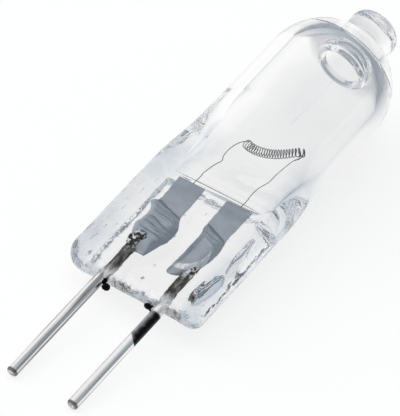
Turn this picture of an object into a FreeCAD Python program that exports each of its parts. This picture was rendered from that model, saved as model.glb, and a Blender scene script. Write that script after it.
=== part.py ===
"""Halogen capsule bulb with a two-pin base, laid down as it comes to rest on a table.

The lamp is modelled along its own axis: X across the two pins, Y from the pins to the tip, with Y = 0 at the
foot of the glass, and Z square to the flat pinch. At the end it is tilted to rest on its pin ends and on the
underside of its shoulder, and the origin goes to the table below the middle of its box.
"""
import FreeCAD, Part
import math
import os

from FreeCAD import Vector

# Contact pins, in millimetres
PIN_SPACING = 4.0
PIN_DIAMETER = 0.65
PIN_REACH = 7.55
PIN_SEAT = 5.5
PIN_SEAT_DIAMETER = 0.64
PIN_NECK = 0.52
PIN_END_CHAMFER = 0.12

# Pinch seal: thick rails along both sides, a thinner web between them
PINCH_WIDTH = 8.6
PINCH_HEIGHT = 7.8
RAIL_THICKNESS = 2.4
RAIL_WIDTH = 0.75
RAIL_ROUNDING = 0.5
RAIL_FALL = 0.45
WEB_THICKNESS = 1.7
FOOT_ROUNDING = 0.9

# Shoulder, tube and dome
SHOULDER_HEIGHT = 5.1
SHOULDER_SOFTNESS = 0.4
TUBE_DIAMETER = 7.5
TUBE_WALL = 0.75
TUBE_HEIGHT = 4.4
DOME_WALL = 1.3

# Inside of the capsule: the flat floor above the pinch
FLOOR_HEIGHT = 8.0
FLOOR_WIDTH = 6.1
FLOOR_THICKNESS = 0.3
FLOOR_ROUNDING = 0.12

# Melted-off stub of the exhaust tube, and its lip inside the dome
STUB_DIAMETER = 2.95
STUB_HEIGHT = 1.55
STUB_END_ROUNDING = 0.7
STUB_PLUG = 1.5
LIP_DIAMETER = 2.7
LIP_THICKNESS = 0.5
LIP_DROP = 0.75
LIP_CHAMFER = 0.16

# Foils: flat at the filament end, pressed over the pin at the other
FOIL_WIDTH = 1.7
FOIL_SPACING = 3.15
FOIL_THICKNESS = 0.04
FOIL_BELOW_FLOOR = 0.25
FOIL_PIN_OVERLAP = 3.0
FOIL_RAMP = 1.0
FOIL_DRAPE = 1.7
FOIL_FOLDS = 6
FOIL_RAMP_STEPS = 3

# Filament: one wire, a coil between two legs
WIRE_DIAMETER = 0.06
COIL_DIAMETER = 0.64
COIL_SPAN = 3.2
COIL_SAG = 0.5
COIL_LEAN = 14.0
COIL_TURNS = 21
COIL_SETBACK = 0.5
COIL_POINTS_PER_TURN = 8
WIRE_SIDES = 4
LIGHT_CENTRE = 19.5
LEG_FOIL_OVERLAP = 1.2
LEG_STRAIGHT = 0.9
LEG_POINTS = 7

# Clearances of the welds
PIN_WELD_GAP = 0.02
LEG_WELD_GAP = 0.005
PIN_WELD_WIDTH = 0.36
LEG_WELD_WIDTH = 0.05

# Search for the tilt at rest, in degrees
STEEPEST_REST = 45.0
REST_TOLERANCE = 1e-5

# Levels along the axis and radii that follow
tube_foot = PINCH_HEIGHT + SHOULDER_HEIGHT
dome_centre = tube_foot + TUBE_HEIGHT
tube_radius = TUBE_DIAMETER / 2
bore_radius = tube_radius - TUBE_WALL
bore_dome_centre = dome_centre - (DOME_WALL - TUBE_WALL)
stub_end = dome_centre + tube_radius + STUB_HEIGHT
pin_radius = PIN_DIAMETER / 2
wire_radius = WIRE_DIAMETER / 2
foil_top = FLOOR_HEIGHT - FOIL_BELOW_FLOOR
foil_bottom = PIN_SEAT - FOIL_PIN_OVERLAP


def arc(centre, radius, start, end):
    """One arc of a section: its first, middle and last control points and the middle one's weight."""
    first, last = math.radians(start), math.radians(end)
    half = (last - first) / 2
    weight = math.cos(half)

    def at(angle, reach):
        return (centre[0] + reach * math.cos(angle), centre[1] + reach * math.sin(angle))

    return at(first, radius), at(first + half, radius / weight), at(last, radius), weight


def line(first, last):
    """One straight run of a section, in the same form as an arc."""
    middle = ((first[0] + last[0]) / 2, (first[1] + last[1]) / 2)
    return first, middle, last, 1.0


def rounded_section(width, thickness, rounding):
    """Oblong section with round corners, from its right-hand side round to it again."""
    right, top = width / 2 - rounding, thickness / 2 - rounding
    corners = [(right, top), (-right, top), (-right, -top), (right, -top)]
    arcs = [arc(corner, rounding, 90 * turn, 90 * turn + 90) for turn, corner in enumerate(corners)]
    runs = []
    for turn in range(4):
        runs += [arcs[turn], line(arcs[turn][2], arcs[(turn + 1) % 4][0])]
    return runs


def round_section(section, radius):
    """A circle with as many arcs as a section has runs, each as long in proportion."""
    lengths = [math.dist(run[0], run[1]) + math.dist(run[1], run[2]) for run in section]
    degrees = 360.0 / sum(lengths)
    angle = lengths[-1] * degrees / 2
    arcs = []
    for length in lengths:
        arcs.append(arc((0, 0), radius, angle, angle + length * degrees))
        angle += length * degrees
    return arcs


def skin(rows):
    """Patches over a column of like sections. Each row is a section and its height."""
    degree = len(rows) - 1
    heights = [height for section, height in rows]
    patches = []
    for runs in zip(*(section for section, height in rows)):
        poles = []
        weights = []
        for column in range(3):
            poles.append([Vector(run[column][0], y, run[column][1]) for run, y in zip(runs, heights)])
            weights.append([run[3] if column == 1 else 1.0 for run in runs])
        surface = Part.BSplineSurface()
        surface.buildFromPolesMultsKnots(
            poles, [3, 3], [degree + 1, degree + 1], [0, 1], [0, 1], False, False, 2, degree, weights)
        patches.append(surface.toShape())
    return patches


def cap(section, height):
    """Flat face that closes a skin at one of its sections."""
    edges = []
    for first, middle, last, weight in section:
        curve = Part.BezierCurve()
        curve.setPoles([Vector(x, height, z) for x, z in (first, middle, last)])
        curve.setWeight(2, weight)
        edges.append(curve.toShape())
    return Part.Face(Part.Wire(edges))


def solid_of(faces):
    """The closed solid that a set of faces bounds."""
    sewn = Part.Compound(faces)
    sewn.sewShape()
    solid = Part.Solid(sewn.Shells[0])
    if solid.Volume < 0:
        solid.reverse()
    return solid


def shoulder(section, foot, radius):
    """Rows that turn a pressed section into the round tube, square to both."""
    ease = SHOULDER_SOFTNESS * (tube_foot - foot)
    circle = round_section(section, radius)
    return [(section, foot), (section, foot + ease), (circle, tube_foot - ease), (circle, tube_foot)]


def turned(points_and_arcs):
    """Solid of revolution about the lamp's axis. Three points in a row of the list make an arc."""
    edges = []
    for piece in points_and_arcs:
        points = [Vector(radius, height, 0) for radius, height in piece]
        if len(points) == 3:
            edges.append(Part.Arc(*points).toShape())
        else:
            edges.append(Part.LineSegment(*points).toShape())
    profile = Part.Face(Part.Wire(edges))
    return profile.revolve(Vector(0, 0, 0), Vector(0, 1, 0), 360)


def on_circle(centre, radius, degrees):
    """Point of a profile on a circle."""
    angle = math.radians(degrees)
    return (centre[0] + radius * math.cos(angle), centre[1] + radius * math.sin(angle))


def foot_outline():
    """Front outline of the pinch with its two round corners, as a block to trim by."""
    half = PINCH_WIDTH / 2
    straight = half - FOOT_ROUNDING
    bend = FOOT_ROUNDING * math.sqrt(0.5)
    depth = TUBE_DIAMETER + PINCH_WIDTH

    def at(x, y):
        return Vector(x, y, -depth / 2)

    edges = []
    for side in (1, -1):
        knee = at(side * (straight + bend), FOOT_ROUNDING - bend)
        edges.append(Part.Arc(at(side * straight, 0), knee, at(side * half, FOOT_ROUNDING)).toShape())
    edges.append(Part.LineSegment(at(-straight, 0), at(straight, 0)).toShape())
    top = [at(half, FOOT_ROUNDING), at(half, tube_foot), at(-half, tube_foot), at(-half, FOOT_ROUNDING)]
    edges += [Part.LineSegment(a, b).toShape() for a, b in zip(top, top[1:])]
    outline = Part.Wire(Part.__sortEdges__(edges))
    return Part.Face(outline).extrude(Vector(0, 0, depth))


def web_recess():
    """What the jaws press out of one face of the pinch, between the rails."""
    depth = (RAIL_THICKNESS - WEB_THICKNESS) / 2
    widen = RAIL_FALL / depth
    rectangles = []
    for level in (0.0, 2 * depth):
        half = PINCH_WIDTH / 2 - RAIL_WIDTH - RAIL_FALL + level * widen
        top = PINCH_HEIGHT - RAIL_FALL + level * widen
        z = WEB_THICKNESS / 2 + level
        below = -PINCH_HEIGHT
        corners = [(-half, below), (half, below), (half, top), (-half, top), (-half, below)]
        rectangles.append(Part.makePolygon([Vector(x, y, z) for x, y in corners]))
    return Part.makeLoft(rectangles, True, True)


def pinch_block():
    """The pressed flat: rounded along its edges, with round corners at its foot and a recess on each face."""
    corner = Vector(-PINCH_WIDTH / 2, 0, -RAIL_THICKNESS / 2)
    block = Part.makeBox(PINCH_WIDTH, PINCH_HEIGHT, RAIL_THICKNESS, corner)
    upright = [edge for edge in block.Edges if edge.BoundBox.YLength > PINCH_HEIGHT / 2]
    return block.makeFillet(RAIL_ROUNDING, upright).common(foot_outline())


def glass_outside():
    """Pinch, shoulder, tube, dome and stub as one full body."""
    pinch = rounded_section(PINCH_WIDTH, RAIL_THICKNESS, RAIL_ROUNDING)
    rows = shoulder(pinch, PINCH_HEIGHT, tube_radius)
    shoulders = solid_of([cap(pinch, PINCH_HEIGHT), cap(rows[-1][0], tube_foot)] + skin(rows))
    stub_radius = STUB_DIAMETER / 2
    dome = (0.0, dome_centre)
    stub_foot = math.degrees(math.acos(stub_radius / tube_radius))
    dome_end = on_circle(dome, tube_radius, stub_foot)
    rim = (stub_radius - STUB_END_ROUNDING, stub_end - STUB_END_ROUNDING)
    bulb = turned([
        [(0, tube_foot), (tube_radius, tube_foot)],
        [(tube_radius, tube_foot), (tube_radius, dome_centre)],
        [(tube_radius, dome_centre), on_circle(dome, tube_radius, stub_foot / 2), dome_end],
        [dome_end, (stub_radius, rim[1])],
        [(stub_radius, rim[1]), on_circle(rim, STUB_END_ROUNDING, 45), (rim[0], stub_end)],
        [(rim[0], stub_end), (0, stub_end)],
        [(0, stub_end), (0, tube_foot)],
    ])
    recess = web_recess()
    body = pinch_block().fuse(shoulders).fuse(bulb)
    return body.cut(recess).cut(recess.mirror(Vector(0, 0, 0), Vector(0, 0, 1)))


def glass_inside():
    """The gas space: flat floor, round bore, dome, and the bore of the stub inside its lip."""
    floor = rounded_section(FLOOR_WIDTH, FLOOR_THICKNESS, FLOOR_ROUNDING)
    rows = shoulder(floor, FLOOR_HEIGHT, bore_radius)
    wedge = solid_of([cap(floor, FLOOR_HEIGHT), cap(rows[-1][0], tube_foot)] + skin(rows))
    dome = (0.0, bore_dome_centre)
    top = bore_dome_centre + bore_radius
    bore = turned([
        [(0, tube_foot), (bore_radius, tube_foot)],
        [(bore_radius, tube_foot), (bore_radius, bore_dome_centre)],
        [(bore_radius, bore_dome_centre), on_circle(dome, bore_radius, 45), (0, top)],
        [(0, top), (0, tube_foot)],
    ])
    lip_end = top - LIP_DROP - LIP_THICKNESS / 2
    inner, outer = (LIP_DIAMETER - LIP_THICKNESS) / 2, (LIP_DIAMETER + LIP_THICKNESS) / 2
    lip = turned([
        [(inner, lip_end + LIP_CHAMFER), (inner + LIP_CHAMFER, lip_end)],
        [(inner + LIP_CHAMFER, lip_end), (outer - LIP_CHAMFER, lip_end)],
        [(outer - LIP_CHAMFER, lip_end), (outer, lip_end + LIP_CHAMFER)],
        [(outer, lip_end + LIP_CHAMFER), (outer, top)],
        [(outer, top), (inner, top)],
        [(inner, top), (inner, lip_end + LIP_CHAMFER)],
    ])
    plug = stub_end - STUB_PLUG
    stub_bore = turned([
        [(0, lip_end + LIP_THICKNESS), (inner, lip_end + LIP_THICKNESS)],
        [(inner, lip_end + LIP_THICKNESS), (inner, plug - inner)],
        [(inner, plug - inner), (0, plug)],
        [(0, plug), (0, lip_end + LIP_THICKNESS)],
    ])
    return wedge.fuse(bore).cut(lip).fuse(stub_bore).removeSplitter()


def pin(side):
    """Straight round wire on one side of the lamp: free end chamfered, seat drawn a little thinner."""
    axis = Vector(0, 1, 0)
    seat_radius = PIN_SEAT_DIAMETER / 2
    free = Part.makeCylinder(pin_radius, PIN_REACH, Vector(0, -PIN_REACH, 0), axis)
    free_rim = [edge for edge in free.Edges if edge.Closed and edge.BoundBox.Center.y < -PIN_REACH / 2]
    neck = Part.makeCone(pin_radius, seat_radius, PIN_NECK, Vector(0, 0, 0), axis)
    seat = Part.makeCylinder(seat_radius, PIN_SEAT - PIN_NECK, Vector(0, PIN_NECK, 0), axis)
    wire = free.makeChamfer(PIN_END_CHAMFER, free_rim).fuse(neck).fuse(seat)
    wire.translate(Vector(side * PIN_SPACING / 2, 0, 0))
    return wire


def smooth_step(share):
    """Soft rise from 0 to 1."""
    return share * share * (3 - 2 * share)


def foil_section(y, raised):
    """Closed section of the right-hand foil: flat, or folded over the pin as far as it is raised."""
    crest = pin_radius + PIN_WELD_GAP + FOIL_THICKNESS / 2
    left = (FOIL_SPACING - FOIL_WIDTH) / 2
    lower = []
    for fold in range(FOIL_FOLDS + 1):
        x = left + FOIL_WIDTH * fold / FOIL_FOLDS
        off_pin = (x - PIN_SPACING / 2) / (FOIL_DRAPE * pin_radius)
        lower.append(Vector(x, y, crest * raised * math.exp(-off_pin ** 4) - FOIL_THICKNESS / 2))
    upper = [point + Vector(0, 0, FOIL_THICKNESS) for point in reversed(lower)]
    return Part.makePolygon(lower + upper + lower[:1])


def foil():
    """Right-hand foil: flat at the filament, rising over the end of the pin and folded along it."""
    sections = [foil_section(foil_bottom, 1.0)]
    for step in range(FOIL_RAMP_STEPS + 1):
        share = step / FOIL_RAMP_STEPS
        sections.append(foil_section(PIN_SEAT + FOIL_RAMP * share, smooth_step(1 - share)))
    sections.append(foil_section(foil_top, 0.0))
    return Part.makeLoft(sections, True, True)


def weld_reliefs():
    """Glass-free lines where the right-hand foil is welded to its pin and to the leg of the filament."""
    leg_foot, leg_top = leg_line()
    inside_foil = pin_radius + PIN_WELD_GAP + FOIL_THICKNESS / 2
    at_pin = Vector((PIN_SPACING - PIN_WELD_WIDTH) / 2, foil_bottom, 0)
    at_leg = Vector((FOIL_SPACING - LEG_WELD_WIDTH) / 2, leg_foot.y, leg_foot.z)
    return [
        Part.makeBox(PIN_WELD_WIDTH, FOIL_PIN_OVERLAP, inside_foil, at_pin),
        Part.makeBox(LEG_WELD_WIDTH, LEG_FOIL_OVERLAP, -leg_foot.z, at_leg),
    ]


def leg_line():
    """Foot and top of the straight stretch of the right-hand leg, which lies behind its foil."""
    behind = FOIL_THICKNESS / 2 + LEG_WELD_GAP + wire_radius
    foot = Vector(FOIL_SPACING / 2, foil_top - LEG_FOIL_OVERLAP, -behind)
    return foot, Vector(foot.x, FLOOR_HEIGHT + LEG_STRAIGHT, -behind)


def bridge(start, start_way, end, end_way):
    """Points of a smooth run of wire between two points, without them."""
    reach = start.distanceToPoint(end)
    points = []
    for step in range(1, LEG_POINTS):
        s = step / LEG_POINTS
        along = start * (2 * s ** 3 - 3 * s ** 2 + 1) + end * (3 * s ** 2 - 2 * s ** 3)
        swing = start_way * (s ** 3 - 2 * s ** 2 + s) + end_way * (s ** 3 - s ** 2)
        points.append(along + swing * reach)
    return points


def coil_points():
    """The coil's turns about a sagging arc, from its left end to its right end."""
    sag_radius = (COIL_SPAN ** 2 / 4 + COIL_SAG ** 2) / (2 * COIL_SAG)
    half_sweep = math.asin(COIL_SPAN / 2 / sag_radius)
    low_point = Vector(0, LIGHT_CENTRE - PIN_REACH, -COIL_SETBACK)
    turn_radius = (COIL_DIAMETER - WIRE_DIAMETER) / 2
    lean = math.radians(COIL_LEAN)
    middle = low_point + Vector(-math.sin(lean), math.cos(lean), 0) * sag_radius
    steps = COIL_TURNS * COIL_POINTS_PER_TURN + COIL_POINTS_PER_TURN // 2
    points = []
    for step in range(steps + 1):
        bearing = (2 * step / steps - 1) * half_sweep + lean
        inward = Vector(-math.sin(bearing), math.cos(bearing), 0)
        phase = 2 * math.pi * step / COIL_POINTS_PER_TURN - math.pi / 2
        turn = inward * math.cos(phase) + Vector(0, 0, 1) * math.sin(phase)
        points.append(middle - inward * sag_radius + turn * turn_radius)
    return points


def wire_rings(points):
    """Corners of the wire's many-sided section at each point of its way, kept from twisting."""
    rings = []
    across = Vector(1, 0, 0)
    for index, point in enumerate(points):
        way = points[min(index + 1, len(points) - 1)] - points[max(index - 1, 0)]
        way.normalize()
        across = across - way * across.dot(way)
        across.normalize()
        third = way.cross(across)
        angles = [2 * math.pi * side / WIRE_SIDES for side in range(WIRE_SIDES)]
        rings.append([point + (across * math.cos(a) + third * math.sin(a)) * wire_radius for a in angles])
    return rings


def filament():
    """The wire from foil to foil: leg, coil, leg."""
    up = Vector(0, 1, 0)
    foot, top = leg_line()
    turns = coil_points()
    left_foot, left_top = Vector(-foot.x, foot.y, foot.z), Vector(-top.x, top.y, top.z)
    rise = bridge(left_top, up, turns[0], (turns[1] - turns[0]).normalize())
    fall = bridge(turns[-1], (turns[-1] - turns[-2]).normalize(), top, -up)
    rings = wire_rings([left_foot, left_top] + rise + turns + fall + [top, foot])
    return Part.makeLoft([Part.makePolygon(ring + ring[:1]) for ring in rings], True, True)


def leg_hole():
    """Room for the right-hand leg in the glass."""
    foot, top = leg_line()
    return Part.makeCylinder(wire_radius, top.y - foot.y, foot, Vector(0, 1, 0))


def left_of(shape):
    """The same piece on the other side of the lamp."""
    return shape.mirror(Vector(0, 0, 0), Vector(1, 0, 0))


def tilted(shape, degrees):
    """A copy of a piece with the tip of the lamp raised."""
    copy = shape.copy()
    copy.rotate(Vector(0, 0, 0), Vector(1, 0, 0), degrees)
    return copy


def resting_tilt(glass_body, pin_body):
    """Tilt at which the pin ends and the underside of the shoulder touch the table together."""
    def lowest(shape):
        return tilted(shape, tilt).optimalBoundingBox(False, False).ZMin

    flat, steep = 0.0, STEEPEST_REST
    while steep - flat > REST_TOLERANCE:
        tilt = (flat + steep) / 2
        if lowest(pin_body) > lowest(glass_body):
            flat = tilt
        else:
            steep = tilt
    return tilt


pin_right = pin(1)
foil_right = foil()
glass_body = glass_outside()
glass = glass_body.cut(glass_inside())
for shape in [pin_right, foil_right, leg_hole()] + weld_reliefs():
    glass = glass.cut(shape).cut(left_of(shape))

pieces = {
    "quartz_capsule": glass,
    "foil_left": left_of(foil_right),
    "foil_right": foil_right,
    "pin_left": left_of(pin_right),
    "pin_right": pin_right,
    "filament": filament(),
}

# Lay the lamp down and put the origin on the table below the middle of its box
tilt = resting_tilt(glass_body, pin_right)
laid = {name: tilted(shape, tilt) for name, shape in pieces.items()}
box = Part.Compound(list(laid.values())).optimalBoundingBox(False, False)
os.makedirs("parts", exist_ok=True)
for name, shape in laid.items():
    shape.translate(Vector(-box.Center.x, -box.Center.y, -box.ZMin))
    shape.exportStep("parts/" + name + ".step")
print("tilt", round(tilt, 3), "box", [round(size, 3) for size in (box.XLength, box.YLength, box.ZLength)])
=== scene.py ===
"""Looks of the halogen capsule bulb: wound filament, foils, contact pins and the quartz capsule around them.

Sizes are in millimetres on the lamp's own axes, as in the part's source. X runs across the pins, Y from the
pins to the tip with 0 at the foot of the glass, and Z square to the flat pinch. Each piece is made on these
axes and then laid down. The table, the lights and the camera are in metres, on the axes of the room.
"""
import math

import bmesh
import bpy
import numpy as np
from mathutils import Matrix, Vector, noise


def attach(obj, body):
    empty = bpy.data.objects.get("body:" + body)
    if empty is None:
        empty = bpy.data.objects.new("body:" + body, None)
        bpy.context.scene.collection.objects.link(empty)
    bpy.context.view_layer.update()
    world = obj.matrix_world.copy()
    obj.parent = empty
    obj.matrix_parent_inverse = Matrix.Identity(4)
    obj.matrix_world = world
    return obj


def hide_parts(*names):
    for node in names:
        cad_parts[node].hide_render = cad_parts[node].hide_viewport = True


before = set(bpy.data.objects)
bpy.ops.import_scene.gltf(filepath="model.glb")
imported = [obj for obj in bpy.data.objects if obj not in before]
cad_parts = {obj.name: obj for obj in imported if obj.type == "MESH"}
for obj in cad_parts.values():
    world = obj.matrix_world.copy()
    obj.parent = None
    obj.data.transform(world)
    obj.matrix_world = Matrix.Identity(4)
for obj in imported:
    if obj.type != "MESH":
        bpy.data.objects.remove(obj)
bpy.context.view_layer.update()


# Filament
# One drawn tungsten wire, wound to a coil in its middle and left straight at both ends. The ends are the
# legs, which go down into the pinch, where each is welded to its foil.

WIRE_THICKNESS = 0.05
COIL_THICKNESS = 0.6
COIL_TURNS = 22
POINTS_PER_TURN = 24
# The coil's two ends, and between them the two points that pull its way down into a sag
COIL_WAY = [(-1.30, 12.00, -0.50), (-0.65, 11.70, -0.52), (0.50, 11.88, -0.55), (1.90, 12.74, -0.18)]
WAY_STEPS = 200
LEFT_LEG = [(-1.575, 6.55, -0.05), (-1.575, 8.0, -0.05), (-1.61, 8.43, -0.06), (-1.63, 8.91, -0.10),
            (-1.61, 9.59, -0.18), (-1.48, 9.98, -0.24), (-1.52, 10.16, -0.26), (-1.68, 10.34, -0.29),
            (-1.78, 10.82, -0.34), (-1.80, 11.25, -0.40), (-1.73, 11.70, -0.46), (-1.56, 12.04, -0.50)]
RIGHT_LEG = [(2.06, 12.46, -0.25), (1.90, 11.98, -0.32), (1.79, 11.36, -0.36), (1.69, 10.75, -0.34),
             (1.74, 10.21, -0.28), (1.64, 9.81, -0.22), (1.51, 9.36, -0.13), (1.56, 8.55, -0.06),
             (1.575, 8.0, -0.05), (1.575, 6.55, -0.05)]

MILLIMETRE = 0.001
LAMP_LEAN = math.radians(9.5628)
LAMP_FOOT = Vector((0.0, -7.47264, 1.55482))
laid_down = Matrix.Scale(MILLIMETRE, 4) @ Matrix.Translation(LAMP_FOOT) @ Matrix.Rotation(LAMP_LEAN, 4, "X")


def put_in(name, mesh, finish, node):
    """Lay a piece down with the lamp and let it stand for its node."""
    mesh.transform(laid_down)
    mesh.materials.clear()
    mesh.materials.append(finish)
    mesh.polygons.foreach_set("use_smooth", [True] * len(mesh.polygons))
    piece = bpy.data.objects.new(name, mesh)
    bpy.context.scene.collection.objects.link(piece)
    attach(piece, "root")
    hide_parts(node)


def new_finish(name):
    """An empty finish: the finish, its tree, its shader, and the place on the lamp in millimetres."""
    finish = bpy.data.materials.new(name)
    finish.use_nodes = True
    nodes = finish.node_tree.nodes
    place = nodes.new("ShaderNodeTexCoord")
    on_lamp = nodes.new("ShaderNodeMapping")
    on_lamp.vector_type = "TEXTURE"
    on_lamp.inputs["Location"].default_value = LAMP_FOOT * MILLIMETRE
    on_lamp.inputs["Rotation"].default_value = (LAMP_LEAN, 0.0, 0.0)
    on_lamp.inputs["Scale"].default_value = (MILLIMETRE, MILLIMETRE, MILLIMETRE)
    finish.node_tree.links.new(place.outputs["Object"], on_lamp.inputs["Vector"])
    return finish, finish.node_tree, nodes["Principled BSDF"], on_lamp.outputs["Vector"]


def grain(tree, place, scale, detail=3.0, stretch=(1.0, 1.0, 1.0)):
    """Fine uneven grain, finer along the axes with the larger stretch."""
    squeezed = tree.nodes.new("ShaderNodeMapping")
    squeezed.inputs["Scale"].default_value = stretch
    texture = tree.nodes.new("ShaderNodeTexNoise")
    texture.inputs["Scale"].default_value = scale
    texture.inputs["Detail"].default_value = detail
    tree.links.new(place, squeezed.inputs["Vector"])
    tree.links.new(squeezed.outputs["Vector"], texture.inputs["Vector"])
    return texture.outputs["Fac"]


def shades(tree, value, stops):
    """Colours by value."""
    ramp = tree.nodes.new("ShaderNodeValToRGB")
    points = ramp.color_ramp.elements
    while len(points) < len(stops):
        points.new(0.5)
    for point, (at, colour) in zip(points, stops):
        point.position = at
        point.color = (*colour, 1.0)
    tree.links.new(value, ramp.inputs["Fac"])
    return ramp.outputs["Color"]


def relief(tree, shader, value, depth):
    """Surface relief of a given depth."""
    bump = tree.nodes.new("ShaderNodeBump")
    bump.inputs["Strength"].default_value = 1.0
    bump.inputs["Distance"].default_value = depth * MILLIMETRE
    tree.links.new(value, bump.inputs["Height"])
    tree.links.new(bump.outputs["Normal"], shader.inputs["Normal"])


def drawn_wire(name, points, thickness):
    """Round wire along a way, as a mesh."""
    curve = bpy.data.curves.new(name, "CURVE")
    curve.dimensions = "3D"
    curve.bevel_depth = thickness / 2
    curve.bevel_resolution = 3
    curve.use_fill_caps = True
    way = curve.splines.new("NURBS")
    way.points.add(len(points) - 1)
    for point, at in zip(way.points, points):
        point.co = (*at, 1.0)
    way.order_u = 3
    way.use_endpoint_u = True
    way.resolution_u = 2
    stand_in = bpy.data.objects.new(name, curve)
    bpy.context.scene.collection.objects.link(stand_in)
    bpy.context.view_layer.update()
    drawn = stand_in.evaluated_get(bpy.context.evaluated_depsgraph_get())
    mesh = bpy.data.meshes.new_from_object(drawn)
    bpy.data.objects.remove(stand_in)
    return mesh


def coil():
    """The turns, evenly wound about a way that sags between the legs."""
    start, first_pull, second_pull, end = (Vector(point) for point in COIL_WAY)
    along = []
    for step in range(WAY_STEPS + 1):
        t = step / WAY_STEPS
        s = 1 - t
        along.append(start * s ** 3 + first_pull * (3 * s * s * t)
                     + second_pull * (3 * s * t * t) + end * t ** 3)
    reached = np.cumsum([0.0] + [(b - a).length for a, b in zip(along, along[1:])])
    turn_radius = (COIL_THICKNESS - WIRE_THICKNESS) / 2
    steps = COIL_TURNS * POINTS_PER_TURN
    points = []
    for step in range(steps + 1):
        share = float(np.interp(reached[-1] * step / steps, reached, np.arange(WAY_STEPS + 1.0)))
        at = min(int(share), WAY_STEPS - 1)
        before, after = along[at], along[at + 1]
        way = (after - before).normalized()
        inward = Vector((-way.y, way.x, 0)).normalized()
        upward = way.cross(inward)
        phase = 2 * math.pi * step / POINTS_PER_TURN
        middle = before.lerp(after, share - at)
        points.append(middle + (inward * math.cos(phase) + upward * math.sin(phase)) * turn_radius)
    return points


tungsten, tree, shader, place = new_finish("drawn_tungsten")
shader.inputs["Metallic"].default_value = 1.0
shader.inputs["Roughness"].default_value = 0.34
draw_lines = grain(tree, place, 9.0, 4.0)
dull_grey = shades(tree, draw_lines, [(0.3, (0.09, 0.09, 0.10)), (0.7, (0.26, 0.26, 0.27))])
tree.links.new(dull_grey, shader.inputs["Base Color"])
relief(tree, shader, draw_lines, 0.01)
put_in("filament_wire", drawn_wire("filament_wire", LEFT_LEG + coil() + RIGHT_LEG, WIRE_THICKNESS),
       tungsten, "filament")


# Foils
# Molybdenum ribbon, thin enough to bend with the quartz as it cools. Flat at the filament, and swollen and
# creased over the end of its pin where the jaws pressed it.

FOIL_THICKNESS = 0.04
FOIL_ROWS, FOIL_COLUMNS = 240, 49
# Heights up the lamp, each with the ribbon's left and right edge there
LEFT_EDGES = [(2.20, -1.30, -0.78), (2.50, -1.80, -0.66), (2.85, -2.15, -0.54), (3.20, -2.30, -0.44),
              (3.45, -2.46, -0.31), (3.87, -2.56, -0.20), (4.18, -2.45, -0.19), (4.62, -2.42, -0.29),
              (4.97, -2.46, -0.50), (5.25, -2.60, -0.66), (5.42, -2.78, -0.70), (5.57, -2.80, -0.70),
              (5.70, -2.52, -0.70), (6.02, -2.42, -0.70), (6.50, -2.44, -0.71), (7.80, -2.52, -0.79)]
RIGHT_EDGES = [(1.96, 1.02, 1.18), (2.11, 0.83, 1.61), (2.41, 0.85, 1.96), (2.85, 0.87, 2.20),
               (3.19, 0.88, 2.38), (3.57, 0.90, 2.48), (3.86, 0.90, 2.55), (4.43, 0.90, 2.56),
               (4.98, 0.89, 2.44), (5.30, 0.83, 2.37), (5.52, 0.74, 2.35), (5.70, 0.77, 2.34),
               (6.17, 0.76, 2.36), (7.80, 0.68, 2.38)]
EDGE_BLUR_ROWS = 6
# The swelling: its rise on each foil, its upper end at the left edge, how much lower that lies at the right
# edge, and over what height it fades there and grows at the foil's lower end
LEFT_LIFT, RIGHT_LIFT = 0.44, 0.46
SWELLING_TOP, SWELLING_SLANT = 5.6, 0.6
SWELLING_FADE = 0.3
SWELLING_START = (-0.3, 0.9)
# Creases across the swelling: height, rise, half width and slant
LEFT_CREASES = [(5.36, 0.10, 0.10, -0.5), (5.08, 0.11, 0.09, -0.45), (4.76, 0.08, 0.10, -0.5),
                (4.22, 0.11, 0.10, -0.5), (3.93, 0.10, 0.08, -0.3), (3.5, 0.06, 0.10, -0.4)]
RIGHT_CREASES = [(5.22, 0.06, 0.07, -0.4), (5.02, 0.06, 0.06, -0.4), (4.70, 0.03, 0.12, -0.3)]
CREASE_WAVER = 0.05
# A painted highlight, a white crescent at the right foil's lower end, lies within one circle and outside
# another
GLINT_WITHIN, GLINT_OUTSIDE = (1.2, 3.6, 0.0), (0.9, 3.93, 0.0)


def soft_step(low, high, value):
    """0 below low, 1 above high, smooth between."""
    share = np.clip((value - low) / (high - low), 0.0, 1.0)
    return share * share * (3 - 2 * share)


def grid_faces(rows, columns, first=0):
    """Quads over a grid of points."""
    return [(first + r * columns + c, first + r * columns + c + 1,
             first + (r + 1) * columns + c + 1, first + (r + 1) * columns + c)
            for r in range(rows - 1) for c in range(columns - 1)]


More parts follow.
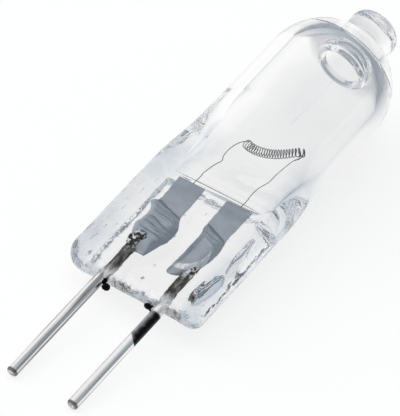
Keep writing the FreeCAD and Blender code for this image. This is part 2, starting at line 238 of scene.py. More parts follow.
def swollen_foil(name, edges, lift, creases):
    """Ribbon between two edges, swollen over its pin and creased there."""
    rows, columns = FOIL_ROWS, FOIL_COLUMNS
    heights, lefts, rights = np.array(edges).T
    y = np.linspace(heights[0], heights[-1], rows)
    left, right = np.interp(y, heights, lefts), np.interp(y, heights, rights)
    blur = np.exp(-np.linspace(-2, 2, 2 * EDGE_BLUR_ROWS + 1) ** 2)
    blur = blur / blur.sum()
    inside = slice(EDGE_BLUR_ROWS, -EDGE_BLUR_ROWS)
    left[inside], right[inside] = np.convolve(left, blur, "valid"), np.convolve(right, blur, "valid")
    across = np.linspace(0.0, 1.0, columns)[None, :]
    x = left[:, None] * (1 - across) + right[:, None] * across
    y = y[:, None] + 0 * across
    top = SWELLING_TOP - SWELLING_SLANT * across
    raised = 1 - soft_step(top, top + SWELLING_FADE, y)
    raised = raised * soft_step(heights[0] + SWELLING_START[0], heights[0] + SWELLING_START[1], y)
    pillow = 1 - np.abs(2 * across - 1) ** 4
    z = lift * raised * pillow
    for height, rise, half_width, slant in creases:
        line = height + slant * (across - 0.5) + CREASE_WAVER * np.sin(8 * across + 40 * height)
        z = z + rise * raised * pillow * np.exp(-((y - line) / half_width) ** 2)
    upper = np.stack([x, y, z + FOIL_THICKNESS / 2], -1).reshape(-1, 3)
    lower = np.stack([x, y, z - FOIL_THICKNESS / 2], -1).reshape(-1, 3)
    count = rows * columns
    faces = grid_faces(rows, columns) + [face[::-1] for face in grid_faces(rows, columns, count)]
    rim = (list(range(columns)) + [r * columns + columns - 1 for r in range(1, rows)]
           + [(rows - 1) * columns + c for c in range(columns - 2, -1, -1)]
           + [r * columns for r in range(rows - 2, 0, -1)])
    faces += [(b, a, a + count, b + count) for a, b in zip(rim, rim[1:] + rim[:1])]
    mesh = bpy.data.meshes.new(name)
    mesh.from_pydata(np.concatenate([upper, lower]).tolist(), [], faces)
    outward = bmesh.new()
    outward.from_mesh(mesh)
    bmesh.ops.recalc_face_normals(outward, faces=outward.faces)
    outward.to_mesh(mesh)
    outward.free()
    return mesh


def greys(tree, value, stops):
    """Greys by value."""
    return shades(tree, value, [(at, (grey, grey, grey)) for at, grey in stops])


def between(tree, value, low, high, at_low=0.0, at_high=1.0):
    """Value carried over from one span to another."""
    span = tree.nodes.new("ShaderNodeMapRange")
    span.inputs["From Min"].default_value = low
    span.inputs["From Max"].default_value = high
    span.inputs["To Min"].default_value = at_low
    span.inputs["To Max"].default_value = at_high
    tree.links.new(value, span.inputs["Value"])
    return span.outputs["Result"]


def half_distance(tree, place, point):
    """Half the distance in plan from a point on the lamp."""
    plan = tree.nodes.new("ShaderNodeMapping")
    plan.inputs["Scale"].default_value = (0.5, 0.5, 0.0)
    tree.links.new(place, plan.inputs["Vector"])
    node = tree.nodes.new("ShaderNodeVectorMath")
    node.operation = "DISTANCE"
    node.inputs[1].default_value = Vector(point) * 0.5
    tree.links.new(plan.outputs["Vector"], node.inputs[0])
    return node.outputs["Value"]


def times(tree, first, second):
    """Two shares, both needed."""
    node = tree.nodes.new("ShaderNodeMath")
    node.operation = "MULTIPLY"
    tree.links.new(first, node.inputs[0])
    tree.links.new(second, node.inputs[1])
    return node.outputs["Value"]


def tinted(tree, share, first, colour):
    """One colour going over into a fixed one."""
    node = tree.nodes.new("ShaderNodeMix")
    node.data_type = "RGBA"
    node.inputs["B"].default_value = (*colour, 1.0)
    tree.links.new(share, node.inputs["Factor"])
    tree.links.new(first, node.inputs["A"])
    return node.outputs["Result"]


molybdenum, tree, shader, place = new_finish("rolled_molybdenum")
roll_lines = grain(tree, place, 6.0, 5.0, (6.0, 0.6, 1.0))
stain = grain(tree, place, 1.4, 3.0)
rolled = shades(tree, stain, [(0.3, (0.44, 0.49, 0.555)), (0.7, (0.53, 0.585, 0.65))])
# Painted highlight: a white crescent on the right foil's lower end, broken up by the rolling lines
glint_crescent = times(tree, greys(tree, half_distance(tree, place, GLINT_WITHIN), [(0.60, 1.0), (0.61, 0.0)]),
               greys(tree, half_distance(tree, place, GLINT_OUTSIDE), [(0.645, 0.0), (0.665, 1.0)]))
painted_lip_glint = times(tree, glint_crescent, greys(tree, roll_lines, [(0.40, 0.1), (0.46, 1.0)]))
tree.links.new(tinted(tree, painted_lip_glint, rolled, (1.0, 1.0, 1.0)), shader.inputs["Base Color"])
tree.links.new(between(tree, painted_lip_glint, 0.0, 1.0, 0.7, 1.0), shader.inputs["Metallic"])
tree.links.new(greys(tree, roll_lines, [(0.3, 0.33), (0.7, 0.45)]), shader.inputs["Roughness"])
relief(tree, shader, roll_lines, 0.003)
put_in("foil_left_ribbon", swollen_foil("foil_left_ribbon", LEFT_EDGES, LEFT_LIFT, LEFT_CREASES),
       molybdenum, "foil_left")
put_in("foil_right_ribbon", swollen_foil("foil_right_ribbon", RIGHT_EDGES, RIGHT_LIFT, RIGHT_CREASES),
       molybdenum, "foil_right")


# Contact pins
# Straight drawn wire with a rounded end, welded under the foil. Bright where it plugs in, black with oxide
# where it was hot in the seal, with burnt beads where it leaves the glass.

PIN_MIDDLE = 2.0
PIN_RADIUS = 0.325
PIN_TOP = 4.85
PIN_END = -7.55
PIN_CORNERS = 48
END_ROUNDING = 0.16
END_STEPS = 8
OXIDE_DEPTH, OXIDE_FINENESS = 0.012, 2.5
OXIDE_GROWS = (0.1, 0.5)
CRUST_DEPTH, CRUST_FINENESS = 0.075, 6
CRUST_FADE = 0.2
BEAD_UNEVEN, BEAD_FINENESS = 0.3, 2.2
# How far the left pin sways in the glass and over which heights, and where the weld's crust covers each pin
LEFT_SWAY = 0.28
SWAY_GROWS = (0.1, 1.1)
LEFT_CRUST, RIGHT_CRUST = (1.9, 3.3), (2.2, 3.4)
# Burnt beads at the foot of the glass, and on the left the blobs of the weld: middle and half sizes
LEFT_BEADS = [((-1.34, -0.36, 0.05), (0.22, 0.20, 0.19)), ((-1.62, -0.10, 0.10), (0.13, 0.22, 0.14)),
              ((-1.80, 2.72, 0.40), (0.36, 0.40, 0.20)), ((-1.62, 3.12, 0.52), (0.34, 0.30, 0.16))]
RIGHT_BEADS = [((1.34, -0.20, 0.05), (0.22, 0.16, 0.18)), ((1.58, -0.22, 0.05), (0.20, 0.16, 0.16))]


def lump(built, middle, half_sizes, uneven, fineness, lean=0.0):
    """A closed uneven ball stretched to its half sizes, leaning by degrees about Z. Gives its corners."""
    made = bmesh.ops.create_icosphere(built, subdivisions=3, radius=1.0)
    turned = Matrix.Rotation(math.radians(lean), 3, "Z")
    for vertex in made["verts"]:
        swell = 1 + uneven * noise.noise(vertex.co * fineness + Vector(middle))
        stretched = Vector([swell * part * reach for part, reach in zip(vertex.co, half_sizes)])
        vertex.co = Vector(middle) + turned @ stretched
    return made["verts"]


def rounded_pin(name, side, sway, crust, beads):
    """Round wire with a rounded end. In the glass it may sway, and a crust covers it between two heights."""
    built = bmesh.new()
    stations = []
    for step in range(END_STEPS + 1):
        angle = math.pi / 2 * step / END_STEPS
        stations.append((PIN_END + END_ROUNDING * (1 - math.cos(angle)),
                         PIN_RADIUS - END_ROUNDING * (1 - math.sin(angle))))
    # Coarse steps on the bare wire, fine ones in the glass
    stations += [(y, PIN_RADIUS) for y in np.linspace(PIN_END + 0.3, -0.2, 40)]
    stations += [(y, PIN_RADIUS) for y in np.linspace(-0.15, PIN_TOP, 150)]
    rings = []
    for y, radius in stations:
        middle = side * PIN_MIDDLE + sway * float(soft_step(*SWAY_GROWS, y))
        oxide = OXIDE_DEPTH * float(soft_step(*OXIDE_GROWS, y))
        above_start = soft_step(crust[0] - CRUST_FADE, crust[0] + CRUST_FADE, y)
        rough = CRUST_DEPTH * float(above_start * (1 - soft_step(crust[1], crust[1] + CRUST_FADE, y)))
        ring = []
        for corner in range(PIN_CORNERS):
            angle = 2 * math.pi * corner / PIN_CORNERS
            on_wire = Vector((math.cos(angle), y, math.sin(angle)))
            reach = radius + oxide * noise.noise(on_wire * OXIDE_FINENESS)
            reach += rough * noise.noise(on_wire * CRUST_FINENESS + Vector((side, 0, 0)))
            ring.append(built.verts.new((middle + reach * math.cos(angle), y, reach * math.sin(angle))))
        rings.append(ring)
    for low, high in zip(rings, rings[1:]):
        for a in range(PIN_CORNERS):
            b = (a + 1) % PIN_CORNERS
            built.faces.new((low[a], low[b], high[b], high[a]))
    built.faces.new(rings[0][::-1])
    built.faces.new(rings[-1])
    for bead, half_sizes in beads:
        lump(built, bead, half_sizes, BEAD_UNEVEN, BEAD_FINENESS)
    bmesh.ops.recalc_face_normals(built, faces=built.faces)
    mesh = bpy.data.meshes.new(name)
    built.to_mesh(mesh)
    built.free()
    return mesh


def lamp_axes(tree, place):
    """A place on the lamp taken apart: across it, how far from its middle, and along it."""
    parts = tree.nodes.new("ShaderNodeSeparateXYZ")
    tree.links.new(place, parts.inputs["Vector"])
    from_middle = tree.nodes.new("ShaderNodeMath")
    from_middle.operation = "ABSOLUTE"
    tree.links.new(parts.outputs["X"], from_middle.inputs[0])
    return parts.outputs["X"], from_middle.outputs["Value"], parts.outputs["Y"]


def added(tree, first, second, amount):
    """First value plus an amount of the second."""
    node = tree.nodes.new("ShaderNodeMath")
    node.operation = "MULTIPLY_ADD"
    node.inputs[1].default_value = amount
    tree.links.new(second, node.inputs[0])
    tree.links.new(first, node.inputs[2])
    return node.outputs["Value"]


def blended(tree, share, first, second):
    """One colour going over into another."""
    node = tree.nodes.new("ShaderNodeMix")
    node.data_type = "RGBA"
    tree.links.new(share, node.inputs["Factor"])
    tree.links.new(first, node.inputs["A"])
    tree.links.new(second, node.inputs["B"])
    return node.outputs["Result"]


pin_metal, tree, shader, place = new_finish("drawn_pin_wire")
across, from_middle, along = lamp_axes(tree, place)
mottle = grain(tree, place, 2.2, 5.0)

# Bright wire with the marks of the drawing die, and painted shade at its rounded end: a dark ring round the
# rounding and a lighter darkening on the end itself
draw_lines = grain(tree, place, 16.0, 3.0, (1.0, 0.04, 1.0))
die_marks = shades(tree, grain(tree, place, 5.0, 4.0, (1.0, 0.02, 1.0)),
                   [(0.38, (0.40, 0.39, 0.38)), (0.47, (0.92, 0.91, 0.88)), (0.60, (1.0, 0.99, 0.97))])
painted_end_shade = greys(tree, between(tree, along, PIN_END - 0.05, PIN_END + 0.35),
                [(0.11, 0.25), (0.16, 0.9), (0.45, 0.9), (0.62, 0.0)])
bright = tinted(tree, painted_end_shade, die_marks, (0.10, 0.10, 0.10))

# A dark patch on the right pin, just below the glass, with a slanting lower edge, pale grey towards the
# pin's left side and near black towards its right
below_glass = between(tree, along, -0.34, -0.46)
above_edge = between(tree, added(tree, along, across, 0.9), -0.60, -0.54)
on_right_pin = between(tree, across, 1.6, 1.65)
dark_patch_mask = times(tree, times(tree, below_glass, above_edge), on_right_pin)
dark_patch_greys = shades(tree, between(tree, added(tree, across, mottle, 0.5), 1.9, 2.6),
                [(0.15, (0.72, 0.74, 0.77)), (0.42, (0.26, 0.27, 0.29)), (0.75, (0.015, 0.015, 0.016))])
bare = blended(tree, dark_patch_mask, bright, dark_patch_greys)

# Oxide in the seal, crackled at the weld, and soot on the beads
up_the_seal = between(tree, added(tree, along, mottle, 0.8), 0.0, 5.0)
in_seal = greys(tree, up_the_seal, [(0.12, 0.0), (0.28, 1.0), (0.72, 1.0), (0.82, 0.0)])
at_weld = greys(tree, up_the_seal, [(0.50, 0.0), (0.56, 1.0)])
burnt = shades(tree, grain(tree, place, 5.0, 5.0, (1.0, 0.35, 1.0)),
               [(0.36, (0.010, 0.010, 0.010)), (0.48, (0.07, 0.066, 0.055)), (0.62, (0.30, 0.29, 0.25))])
crackle = greys(tree, grain(tree, place, 4.5, 3.0), [(0.50, 0.004), (0.56, 0.95)])
sealed = blended(tree, at_weld, burnt, crackle)
soot = times(tree, between(tree, from_middle, 1.70, 1.66), between(tree, along, 0.6, 0.4))
wire = blended(tree, in_seal, bare, sealed)
tree.links.new(tinted(tree, soot, wire, (0.006, 0.006, 0.006)), shader.inputs["Base Color"])
shader.inputs["Metallic"].default_value = 1.0
tree.links.new(between(tree, in_seal, 0.0, 1.0, 0.26, 0.34), shader.inputs["Roughness"])
relief(tree, shader, draw_lines, 0.004)
put_in("pin_left_wire", rounded_pin("pin_left_wire", -1, LEFT_SWAY, LEFT_CRUST, LEFT_BEADS),
       pin_metal, "pin_left")
put_in("pin_right_wire", rounded_pin("pin_right_wire", 1, 0.0, RIGHT_CRUST, RIGHT_BEADS),
       pin_metal, "pin_right")


# Quartz capsule
# One piece of clear fused quartz. A tube whose lower end was heated and pressed flat round the foils, and
# whose upper end was domed, with the stub of the exhaust tube melted off. It is fire-polished all over, but
# for its foot, which is crazed and frosted.

PINCH_HALF_WIDTH = 4.3
PINCH_TOP = 7.8
RAIL_HALF = 1.2
WEB_HALF = 0.85
RAIL_INSIDE = 2.9
RAIL_FALL = 0.7
RAIL_WANDER, RAIL_FINENESS = 0.22, 0.55
RAIL_SOFTNESS = 0.12
RAIL_SHARPNESS = 9
EDGE_ROUNDING = 1.1
LEFT_BULGE = 0.22
LEFT_FOOT_CORNER, RIGHT_FOOT_CORNER = 1.0, 0.45
FOOT_ROUNDING = 1.0
FOOT_CLOSING = 0.92
TUBE_FOOT = 12.9
TUBE_RADIUS = 3.75
DOME_MIDDLE = 17.3
STUB_RADIUS = 1.475
STUB_TOP = 22.6
STUB_FILLET = 0.3
STUB_END_ROUNDING = 0.72
BORE_RADIUS = 3.0
BORE_DOME_MIDDLE = 17.2
WALL = 0.75
FLOOR_LEVEL = 8.0
FLOOR_NARROWING = 0.3
FLOOR_FADE = 0.25
FLOOR_WIDENING = 0.05
LIP_LEVEL = 18.88
LIP_RADIUS = 1.40
LIP_BEAD = 0.24
CORNER_STEPS, LONG_STEPS, SHORT_STEPS = 20, 72, 8
FOOT_STEPS, PINCH_STEPS, OPENING_STEPS = 12, 60, 90
BORE_CORNERS, BORE_STEPS = 160, 60
BUBBLE_UNEVEN, BUBBLE_FINENESS = 0.35, 1.3
# Voids left in the pressed glass, and one line drawn out in the tube: middle, half sizes, lean in degrees
BUBBLES = [((-3.85, 1.70, 0.30), (0.05, 0.30, 0.05), -8), ((-3.38, 0.85, 0.20), (0.11, 0.20, 0.10), -20),
           ((-3.25, 3.05, 0.40), (0.06, 0.09, 0.06), 0), ((-0.04, 3.85, 0.45), (0.04, 0.24, 0.05), -12),
           ((-0.45, 5.45, 0.45), (0.06, 0.06, 0.05), 0), ((0.28, 1.85, 0.40), (0.05, 0.12, 0.04), 30),
           ((0.23, 0.90, 0.35), (0.09, 0.10, 0.05), 0), ((0.46, 6.10, 0.45), (0.03, 0.10, 0.04), -10),
           ((-3.70, 4.20, 0.40), (0.03, 0.18, 0.04), -4), ((-3.60, 5.60, 0.40), (0.03, 0.22, 0.04), -4),
           ((-3.72, 2.60, 0.40), (0.03, 0.14, 0.04), -4), ((-3.30, 6.60, 0.50), (0.03, 0.20, 0.04), -6),
           ((3.50, 2.05, 0.30), (0.27, 1.20, 0.22), -3), ((3.55, 4.85, 0.35), (0.20, 1.35, 0.20), 2),
           ((1.95, 13.90, 2.97), (0.014, 2.00, 0.014), -1)]


def pressed_ring(half_width):
    """Oblong section with round corners: its points, and the angles they open out to on the round tube."""
    right, top = half_width - EDGE_ROUNDING, RAIL_HALF - EDGE_ROUNDING
    corners = [(right, top), (-right, top), (-right, -top), (right, -top)]
    bend = 2 * EDGE_ROUNDING
    degrees = 360.0 / sum([bend, 2 * right, bend, 2 * top] * 2)
    bearing = top * degrees
    points, bearings = [], []
    for turn in range(4):
        corner, following = np.array(corners[turn]), np.array(corners[(turn + 1) % 4])
        for step in range(CORNER_STEPS):
            share = step / CORNER_STEPS
            angle = math.radians(90 * (turn + share))
            points.append(corner + EDGE_ROUNDING * np.array([math.cos(angle), math.sin(angle)]))
            bearings.append(bearing + bend * degrees * share)
        bearing += bend * degrees
        angle = math.radians(90 * (turn + 1))
        out = EDGE_ROUNDING * np.array([math.cos(angle), math.sin(angle)])
        steps = SHORT_STEPS if turn % 2 else LONG_STEPS
        run = 2 * top if turn % 2 else 2 * right
        for step in range(steps):
            share = step / steps
            points.append(corner * (1 - share) + following * share + out)
            bearings.append(bearing + run * degrees * share)
        bearing += run * degrees
    return np.array(points), np.radians(bearings)


def smooth_least(a, b, softness):
    """The smaller of two heights, with a soft change from one to the other."""
    share = np.clip(0.5 + 0.5 * (b - a) / softness, 0.0, 1.0)
    return b * (1 - share) + a * share - softness * share * (1 - share)


def pressed_in(level, ring):
    """A ring as the jaws leave it: web pressed in between the rails, left rail fuller, foot round."""
    bulge = LEFT_BULGE * (1 - soft_step(PINCH_TOP, TUBE_FOOT, level)) / PINCH_HALF_WIDTH
    x, z = ring[:, 0] * np.where(ring[:, 0] < 0, 1 + bulge, 1.0), ring[:, 1]
    along_the_rail = RAIL_FINENESS * level
    wander = np.array([noise.noise(Vector((math.copysign(2.0, at), along_the_rail, 0.0))) for at in x])
    up_the_rail = (np.abs(x) - RAIL_INSIDE - RAIL_WANDER * wander) / RAIL_FALL
    up_the_shoulder = (level - PINCH_TOP + RAIL_FALL) / RAIL_FALL
    climb = np.maximum(up_the_rail, up_the_shoulder)
    climb = np.logaddexp(0, RAIL_SHARPNESS * climb) / RAIL_SHARPNESS
    limit = WEB_HALF + (RAIL_HALF - WEB_HALF) * climb + max(0.0, level - PINCH_TOP)
    depth = np.minimum(smooth_least(np.abs(z), limit, RAIL_SOFTNESS), np.abs(z))
    below_rounding = max(0.0, FOOT_ROUNDING - level)
    inset = FOOT_ROUNDING - math.sqrt(max(0.0, FOOT_ROUNDING ** 2 - below_rounding ** 2))
    depth = depth * (1 - FOOT_CLOSING * inset / FOOT_ROUNDING)
    return np.stack([x, np.sign(z) * depth], -1)


def opening_level(foot, v):
    """Height on the way from a flat section up to the round tube."""
    return foot + (TUBE_FOOT - foot) * (1.2 * v * (1 - v) ** 2 + 1.8 * v * v * (1 - v) + v ** 3)


def opening_rows():
    """Rings from the pinch, square to it, up into the round tube, and the angles of their points there."""
    flat, bearings = pressed_ring(PINCH_HALF_WIDTH)
    round_ring = TUBE_RADIUS * np.stack([np.cos(bearings), np.sin(bearings)], -1)
    rows = []
    for step in range(OPENING_STEPS + 1):
        v = step / OPENING_STEPS
        share = soft_step(0.0, 1.0, v)
        rows.append((opening_level(PINCH_TOP, v), flat * (1 - share) + round_ring * share))
    return rows, bearings


def turned_rows(profile, bearings):
    """Rings of a turned shape from its profile of heights and radii."""
    circle = np.stack([np.cos(bearings), np.sin(bearings)], -1)
    return [(level, circle * radius) for level, radius in profile]


def arc_profile(level, radius_at, reach, start, end, steps):
    """Profile points on an arc, without its first."""
    angles = np.radians(np.linspace(start, end, steps + 1)[1:])
    return [(level + reach * math.sin(a), radius_at + reach * math.cos(a)) for a in angles]


def shell(built, rows, mirror, inward):
    """Skin over rings, closed at both ends.

    The first ring's points pair up across its middle, mirror apart.
    """
    rings = [[built.verts.new((x, level, z)) for x, z in ring] for level, ring in rows]
    count = len(rings[0])
    faces = []
    for low, high in zip(rings, rings[1:]):
        for a in range(count):
            b = (a + 1) % count
            faces.append(built.faces.new((low[a], low[b], high[b], high[a])))
    top = built.verts.new((0, rows[-1][0], 0))
    faces += [built.faces.new((rings[-1][a], rings[-1][(a + 1) % count], top)) for a in range(count)]
    foot = rings[0]
    for a in range(-(mirror // 2), count // 2 - mirror // 2):
        far = count - mirror - a
        corners = [foot[a % count], foot[(a + 1) % count], foot[(far - 1) % count], foot[far % count]]
        corners = [v for i, v in enumerate(corners) if v not in corners[:i]]
        faces.append(built.faces.new(corners))
    bmesh.ops.recalc_face_normals(built, faces=faces)
    if inward:
        bmesh.ops.reverse_faces(built, faces=faces)


def outer_rows():
    """The outside, from the foot of the pinch to the end of the stub."""
    turns = [math.pi / 2 * step / FOOT_STEPS for step in range(FOOT_STEPS + 1)]
    levels = [FOOT_ROUNDING * (1 - math.cos(turn)) for turn in turns]
    levels += list(np.linspace(FOOT_ROUNDING, PINCH_TOP, PINCH_STEPS)[1:-1])
    rows = []
    for level in levels:
        left, right = (PINCH_HALF_WIDTH - corner + math.sqrt(corner ** 2 - max(0.0, corner - level) ** 2)
                       for corner in (LEFT_FOOT_CORNER, RIGHT_FOOT_CORNER))
        ring = pressed_ring(left)[0]
        ring[:, 0] *= np.where(ring[:, 0] > 0, right / left, 1.0)
        rows.append((level, ring))
    opened, bearings = opening_rows()
    shaped = [(level, pressed_in(level, ring)) for level, ring in rows + opened]
    profile = [(level, TUBE_RADIUS) for level in np.linspace(TUBE_FOOT, DOME_MIDDLE, 16)[1:]]
    rise = math.acos((STUB_RADIUS + STUB_FILLET) / (TUBE_RADIUS + STUB_FILLET))
    fillet_level = DOME_MIDDLE + (TUBE_RADIUS + STUB_FILLET) * math.sin(rise)
    dome_end = math.degrees(rise)
    profile += arc_profile(DOME_MIDDLE, 0, TUBE_RADIUS, 0, dome_end, 36)
    profile += arc_profile(fillet_level, STUB_RADIUS + STUB_FILLET, STUB_FILLET, 180 + dome_end, 180, 8)
    end_level = STUB_TOP - STUB_END_ROUNDING
    profile += [(level, STUB_RADIUS) for level in np.linspace(fillet_level, end_level, 8)[1:]]
    profile += arc_profile(end_level, STUB_RADIUS - STUB_END_ROUNDING, STUB_END_ROUNDING, 0, 88, 14)
    profile += [(STUB_TOP, radius) for radius in (0.55, 0.3, 0.1)]
    return shaped + turned_rows(profile, bearings)


def inner_rows():
    """The gas space, from its narrow floor up round the lip and into the blind bore of the stub."""
    bearings = np.linspace(0, 2 * math.pi, BORE_CORNERS, endpoint=False)
    opened = []
    for step in range(BORE_STEPS + 1):
        v = step / BORE_STEPS
        share = soft_step(0.0, 1.0, v)
        level = opening_level(FLOOR_LEVEL, v)
        narrowing = FLOOR_NARROWING * math.exp((FLOOR_LEVEL - level) / FLOOR_FADE)
        depth = RAIL_HALF + (TUBE_RADIUS - RAIL_HALF) * share - WALL - narrowing
        width = BORE_RADIUS + FLOOR_WIDENING * (1 - share)
        opened.append((level, np.stack([width * np.cos(bearings), depth * np.sin(bearings)], -1)))
    profile = [(level, BORE_RADIUS) for level in np.linspace(TUBE_FOOT, BORE_DOME_MIDDLE, 16)[1:]]
    profile += arc_profile(BORE_DOME_MIDDLE, 0, BORE_RADIUS, 0, 36, 24)
    profile += [(19.05, 2.30), (19.12, 2.15), (19.17, 2.0), (19.19, 1.85), (19.17, 1.72), (19.11, 1.62)]
    profile += arc_profile(LIP_LEVEL, LIP_RADIUS, LIP_BEAD, 55, -225, 30)
    profile += [(19.15, 1.20), (19.3, 1.17), (19.6, 1.1), (20.0, 1.05), (20.3, 1.0), (20.6, 0.85)]
    profile += [(20.85, 0.6), (21.0, 0.35), (21.06, 0.1)]
    return opened + turned_rows(profile, bearings)


quartz, tree, shader, place = new_finish("fire_polished_quartz")
from_middle, along = lamp_axes(tree, place)[1:]
up_the_lamp = between(tree, along, 0.0, 22.0)
shader.inputs["IOR"].default_value = 1.458
shader.inputs["Roughness"].default_value = 0.0

# Crazed and frosted at the foot
crazed = greys(tree, grain(tree, place, 3.2, 3.0), [(0.42, 0.25), (0.56, 1.0)])
frosted = times(tree, crazed, between(tree, along, 0.60, 0.20))
tree.links.new(between(tree, frosted, 0.0, 1.0, 1.0, 0.5), shader.inputs["Transmission Weight"])

# Painted shade: a blue-grey tint in the glass's colour at its thick sides, in patches, strongest low in the
# pinch and at the shoulders and gone up the tube
shaded_levels = greys(tree, between(tree, along, 0.0, 13.0),
              [(0.2, 1.0), (0.36, 0.4), (0.48, 0.4), (0.64, 1.0), (0.8, 1.0), (0.97, 0.0)])
patchy = greys(tree, grain(tree, place, 0.9), [(0.35, 0.5), (0.65, 1.0)])
painted_edge_shade = times(tree, times(tree, shaded_levels, patchy), between(tree, from_middle, RAIL_INSIDE, 3.7))
edge_shade_colour = shades(tree, painted_edge_shade, [(0.0, (1.0, 1.0, 1.0)), (1.0, (0.64, 0.71, 0.78))])
tree.links.new(edge_shade_colour, shader.inputs["Base Color"])

# Uneven where the glass was worked hot, in the pinch and at the stub, and wrinkled at the foot
worked = greys(tree, up_the_lamp, [(0.28, 1.0), (0.34, 0.0), (0.80, 0.0), (0.90, 0.35)])
uneven = times(tree, grain(tree, place, 1.3, 2.0), worked)
pressed = greys(tree, up_the_lamp, [(0.014, 1.0), (0.05, 0.15), (0.28, 0.15), (0.33, 0.0)])
wrinkled = times(tree, grain(tree, place, 3.2, 2.0), pressed)
relief(tree, shader, added(tree, uneven, wrinkled, 0.9), 0.05)

built = bmesh.new()
shell(built, outer_rows(), SHORT_STEPS, False)
shell(built, inner_rows(), 0, True)
for bubble, half_sizes, lean in BUBBLES:
    corners = lump(built, bubble, half_sizes, BUBBLE_UNEVEN, BUBBLE_FINENESS, lean)
    skin = list({face for vertex in corners for face in vertex.link_faces})
    bmesh.ops.recalc_face_normals(built, faces=skin)
    bmesh.ops.reverse_faces(built, faces=skin)
mesh = bpy.data.meshes.new("quartz_body")
built.to_mesh(mesh)
built.free()
put_in("quartz_body", mesh, quartz, "quartz_capsule")


# Table
# A plain pale sheet that the lamp lies on, white to the eye and in the metal. Through the glass it is seen
# paler under the lamp and darker in front, at the right and behind, which draws the edges of the glass.

floor_mesh = bpy.data.meshes.new("table")
floor_mesh.from_pydata([(-1, -1, 0), (1, -1, 0), (1, 1, 0), (-1, 1, 0)], [], [(0, 1, 2, 3)])
sheet_finish = bpy.data.materials.new("pale_sheet")
sheet_finish.use_nodes = True
tree = sheet_finish.node_tree
tree.nodes.clear()
paper = tree.nodes.new("ShaderNodeBsdfDiffuse")
paper.inputs["Color"].default_value = (0.95, 0.95, 0.95, 1.0)
backdrop = tree.nodes.new("ShaderNodeEmission")

# The sheet as the glass shows it
place = tree.nodes.new("ShaderNodeTexCoord")
parts = tree.nodes.new("ShaderNodeSeparateXYZ")
tree.links.new(place.outputs["Object"], parts.inputs["Vector"])
across, along = parts.outputs["X"], parts.outputs["Y"]
sheet = greys(tree, grain(tree, place.outputs["Object"], 400.0), [(0.3, 0.84), (0.7, 0.87)])
at_right = between(tree, across, 0.004, 0.009)
in_front = between(tree, along, -0.008, -0.012)
left_behind = times(tree, between(tree, across, -0.004, -0.010), between(tree, along, 0.003, 0.008))
behind = between(tree, added(tree, along, across, 0.6), 0.014, 0.022)
ground = tinted(tree, at_right, sheet, (0.40, 0.46, 0.51))
ground = tinted(tree, in_front, ground, (0.46, 0.53, 0.60))
ground = tinted(tree, left_behind, ground, (1.0, 1.0, 1.0))
ground = tinted(tree, behind, ground, (0.20, 0.245, 0.29))
through_glass = tree.nodes.new("ShaderNodeEmission")
tree.links.new(ground, through_glass.inputs["Color"])

# White to the eye and in reflections, with enough of the paper left to show the lamp's shadow
seen = tree.nodes.new("ShaderNodeLightPath")
straight = tree.nodes.new("ShaderNodeMath")
straight.operation = "MAXIMUM"
tree.links.new(seen.outputs["Is Camera Ray"], straight.inputs[0])
tree.links.new(seen.outputs["Is Glossy Ray"], straight.inputs[1])
in_the_picture = tree.nodes.new("ShaderNodeMixShader")
tree.links.new(between(tree, straight.outputs["Value"], 0.0, 1.0, 0.0, 0.8), in_the_picture.inputs["Fac"])
tree.links.new(paper.outputs["BSDF"], in_the_picture.inputs[1])
tree.links.new(backdrop.outputs["Emission"], in_the_picture.inputs[2])
whole = tree.nodes.new("ShaderNodeMixShader")
tree.links.new(between(tree, seen.outputs["Is Transmission Ray"], 0.0, 1.0, 0.0, 0.9), whole.inputs["Fac"])
tree.links.new(in_the_picture.outputs["Shader"], whole.inputs[1])
tree.links.new(through_glass.outputs["Emission"], whole.inputs[2])
out = tree.nodes.new("ShaderNodeOutputMaterial")
tree.links.new(whole.outputs["Shader"], out.inputs["Surface"])
floor_mesh.materials.append(sheet_finish)
table = bpy.data.objects.new("table", floor_mesh)
bpy.context.scene.collection.objects.link(table)


# Light
# A plain room, blue-grey on the right and behind and white on the left, with a soft window and a soft
# ceiling light. The glass and the metal show the room, and the two lights give the shadow.

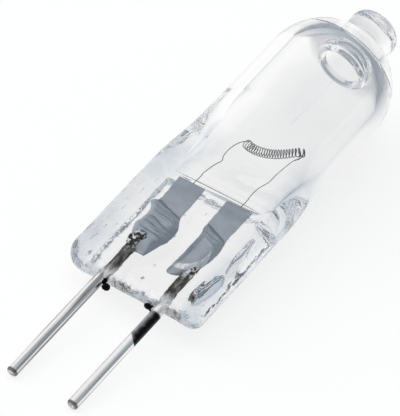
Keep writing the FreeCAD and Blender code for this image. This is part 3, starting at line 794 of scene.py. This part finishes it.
room = bpy.data.worlds.new("room")
bpy.context.scene.world = room
room.use_nodes = True
tree = room.node_tree
sky = tree.nodes["Background"]
facing = tree.nodes.new("ShaderNodeTexCoord")
towards_window = tree.nodes.new("ShaderNodeVectorMath")
towards_window.operation = "DOT_PRODUCT"
towards_window.inputs[1].default_value = (-0.75, -0.35, 0.56)
tree.links.new(facing.outputs["Generated"], towards_window.inputs[0])
walls = shades(tree, between(tree, towards_window.outputs["Value"], -1.0, 1.0),
               [(0.3, (0.32, 0.37, 0.42)), (0.55, (0.46, 0.52, 0.58)), (0.72, (0.80, 0.82, 0.84)),
                (0.88, (1.0, 1.0, 1.0))])
tree.links.new(walls, sky.inputs["Color"])
sky.inputs["Strength"].default_value = 0.9


def soft_box(name, place, width, height, watts):
    """A large soft light towards the lamp, which itself isn't seen in the glass or the metal."""
    panel = bpy.data.lights.new(name, "AREA")
    panel.shape = "RECTANGLE"
    panel.size, panel.size_y = width, height
    panel.energy = watts
    light = bpy.data.objects.new(name, panel)
    light.location = place
    light.rotation_euler = Vector(place).to_track_quat("Z", "Y").to_euler()
    bpy.context.scene.collection.objects.link(light)
    light.visible_glossy = False
    light.visible_transmission = False


soft_box("window", (-0.30, -0.02, 0.24), 0.16, 0.5, 0.6)
soft_box("ceiling", (0.08, 0.1, 0.5), 0.4, 0.4, 0.5)

bpy.context.scene.view_settings.view_transform = "Standard"

# Light may turn many times inside the clear glass before it leaves
GLASS_TURNS = 128
paths = bpy.context.scene.cycles
paths.max_bounces = GLASS_TURNS
paths.transmission_bounces = GLASS_TURNS
paths.glossy_bounces = GLASS_TURNS


# Camera
# A long lens from above the pins' end, on the right, as the photograph was taken. It looks at the middle of
# the lamp, which lies slantwise in the picture.

AIM = Vector((-1.670, 0.714, 0.876)) * MILLIMETRE
DISTANCE = 0.220
TO_THE_RIGHT = Vector((0.79307, 0.60912, 0.00146))
TOWARDS_EYE = Vector((0.45379, -0.59243, 0.66565))

lens = bpy.data.cameras.new("camera")
lens.sensor_width = 36.0
lens.lens = 353.4
lens.clip_start = 0.01
camera = bpy.data.objects.new("camera", lens)
upward = TOWARDS_EYE.cross(TO_THE_RIGHT)
axes = Matrix((TO_THE_RIGHT, upward, TOWARDS_EYE)).transposed().to_4x4()
camera.matrix_world = Matrix.Translation(AIM + TOWARDS_EYE * DISTANCE) @ axes
bpy.context.scene.collection.objects.link(camera)
bpy.context.scene.camera = camera
